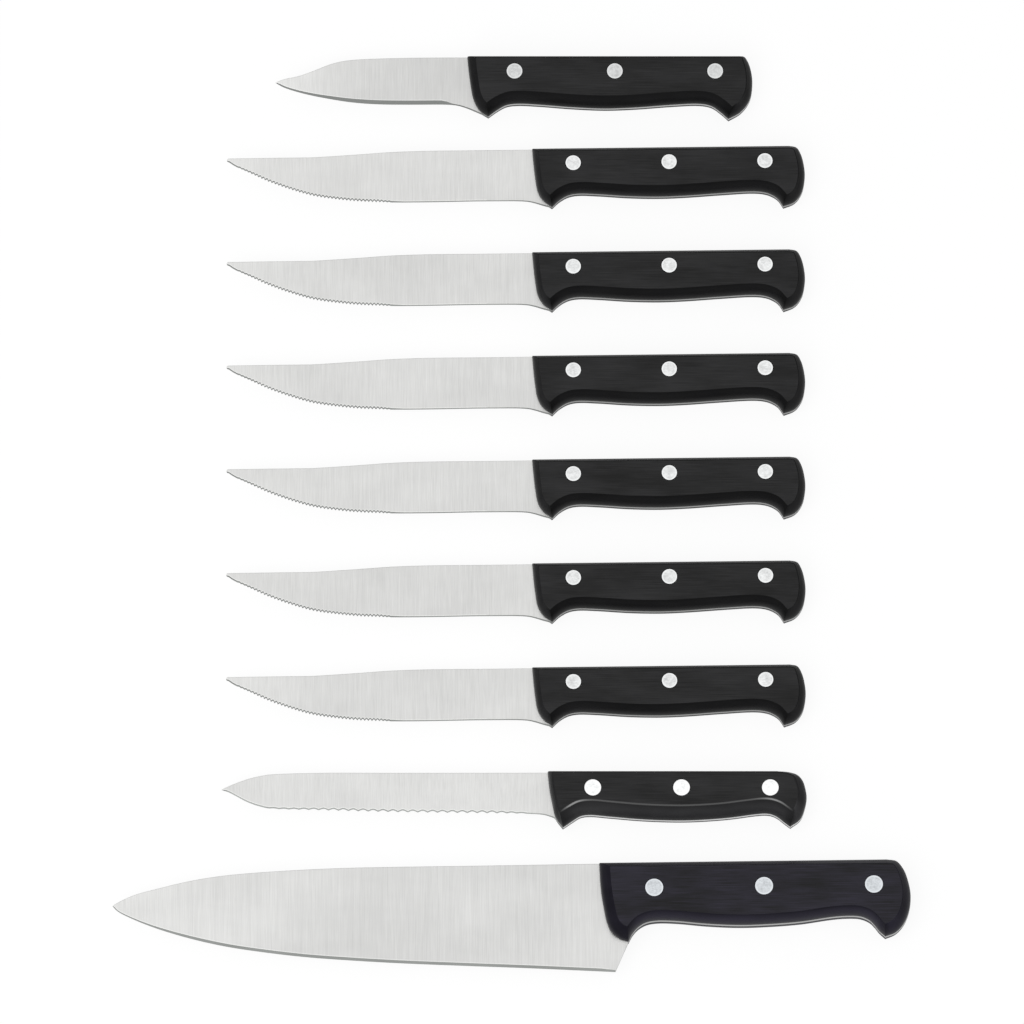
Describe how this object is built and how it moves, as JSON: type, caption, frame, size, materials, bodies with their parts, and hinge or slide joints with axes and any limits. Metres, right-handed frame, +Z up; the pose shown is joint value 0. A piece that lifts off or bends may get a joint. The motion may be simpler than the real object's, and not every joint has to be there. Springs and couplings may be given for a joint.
{
  "type": "kitchen knife set",
  "caption": "Kitchen knives laid side by side: paring, steak, scalloped utility and chef's knife, each a full-tang steel blade between riveted black moulded handle scales.",
  "frame": {"origin": "on the table, under the middle of the box round all the knives", "axes": "+X from the tips towards the butts of the handles, +Y from the chef's knife to the paring knife, +Z up from the table"},
  "size_m": [0.3263, 0.3882, 0.0176],
  "materials": {
    "blade_steel": "satin, fine grinding lines square to the edge",
    "handle_plastic": "black moulded plastic, flanks sanded lengthwise",
    "rivet_metal": "bright, turned flush with the handle"
  },
  "bodies": {
    "chef_knife": {"chef_knife_blade": "blade_steel", "chef_knife_front_scale": "handle_plastic", "chef_knife_back_scale": "handle_plastic", "chef_knife_rivet_1": "rivet_metal", "chef_knife_rivet_2": "rivet_metal", "chef_knife_rivet_3": "rivet_metal"},
    "paring_knife": {"paring_knife_blade": "blade_steel", "paring_knife_front_scale": "handle_plastic", "paring_knife_back_scale": "handle_plastic", "paring_knife_rivet_1": "rivet_metal", "paring_knife_rivet_2": "rivet_metal", "paring_knife_rivet_3": "rivet_metal"},
    "steak_knife_1": {"steak_knife_1_blade": "blade_steel", "steak_knife_1_front_scale": "handle_plastic", "steak_knife_1_back_scale": "handle_plastic", "steak_knife_1_rivet_1": "rivet_metal", "steak_knife_1_rivet_2": "rivet_metal", "steak_knife_1_rivet_3": "rivet_metal"},
    "steak_knife_2": {"steak_knife_2_blade": "blade_steel", "steak_knife_2_front_scale": "handle_plastic", "steak_knife_2_back_scale": "handle_plastic", "steak_knife_2_rivet_1": "rivet_metal", "steak_knife_2_rivet_2": "rivet_metal", "steak_knife_2_rivet_3": "rivet_metal"},
    "steak_knife_3": {"steak_knife_3_blade": "blade_steel", "steak_knife_3_front_scale": "handle_plastic", "steak_knife_3_back_scale": "handle_plastic", "steak_knife_3_rivet_1": "rivet_metal", "steak_knife_3_rivet_2": "rivet_metal", "steak_knife_3_rivet_3": "rivet_metal"},
    "steak_knife_4": {"steak_knife_4_blade": "blade_steel", "steak_knife_4_front_scale": "handle_plastic", "steak_knife_4_back_scale": "handle_plastic", "steak_knife_4_rivet_1": "rivet_metal", "steak_knife_4_rivet_2": "rivet_metal", "steak_knife_4_rivet_3": "rivet_metal"},
    "steak_knife_5": {"steak_knife_5_blade": "blade_steel", "steak_knife_5_front_scale": "handle_plastic", "steak_knife_5_back_scale": "handle_plastic", "steak_knife_5_rivet_1": "rivet_metal", "steak_knife_5_rivet_2": "rivet_metal", "steak_knife_5_rivet_3": "rivet_metal"},
    "steak_knife_6": {"steak_knife_6_blade": "blade_steel", "steak_knife_6_front_scale": "handle_plastic", "steak_knife_6_back_scale": "handle_plastic", "steak_knife_6_rivet_1": "rivet_metal", "steak_knife_6_rivet_2": "rivet_metal", "steak_knife_6_rivet_3": "rivet_metal"},
    "utility_knife": {"utility_knife_blade": "blade_steel", "utility_knife_front_scale": "handle_plastic", "utility_knife_back_scale": "handle_plastic", "utility_knife_rivet_1": "rivet_metal", "utility_knife_rivet_2": "rivet_metal", "utility_knife_rivet_3": "rivet_metal"}
  },
  "joints": [
    {"name": "paring_knife_lift", "type": "slide", "parent": "chef_knife", "child": "paring_knife", "axis": [0, 0, 1], "range_m": [0, 0.06]},
    {"name": "steak_knife_1_lift", "type": "slide", "parent": "chef_knife", "child": "steak_knife_1", "axis": [0, 0, 1], "range_m": [0, 0.06]},
    {"name": "steak_knife_2_lift", "type": "slide", "parent": "chef_knife", "child": "steak_knife_2", "axis": [0, 0, 1], "range_m": [0, 0.06]},
    {"name": "steak_knife_3_lift", "type": "slide", "parent": "chef_knife", "child": "steak_knife_3", "axis": [0, 0, 1], "range_m": [0, 0.06]},
    {"name": "steak_knife_4_lift", "type": "slide", "parent": "chef_knife", "child": "steak_knife_4", "axis": [0, 0, 1], "range_m": [0, 0.06]},
    {"name": "steak_knife_5_lift", "type": "slide", "parent": "chef_knife", "child": "steak_knife_5", "axis": [0, 0, 1], "range_m": [0, 0.06]},
    {"name": "steak_knife_6_lift", "type": "slide", "parent": "chef_knife", "child": "steak_knife_6", "axis": [0, 0, 1], "range_m": [0, 0.06]},
    {"name": "utility_knife_lift", "type": "slide", "parent": "chef_knife", "child": "utility_knife", "axis": [0, 0, 1], "range_m": [0, 0.06]}
  ]
}
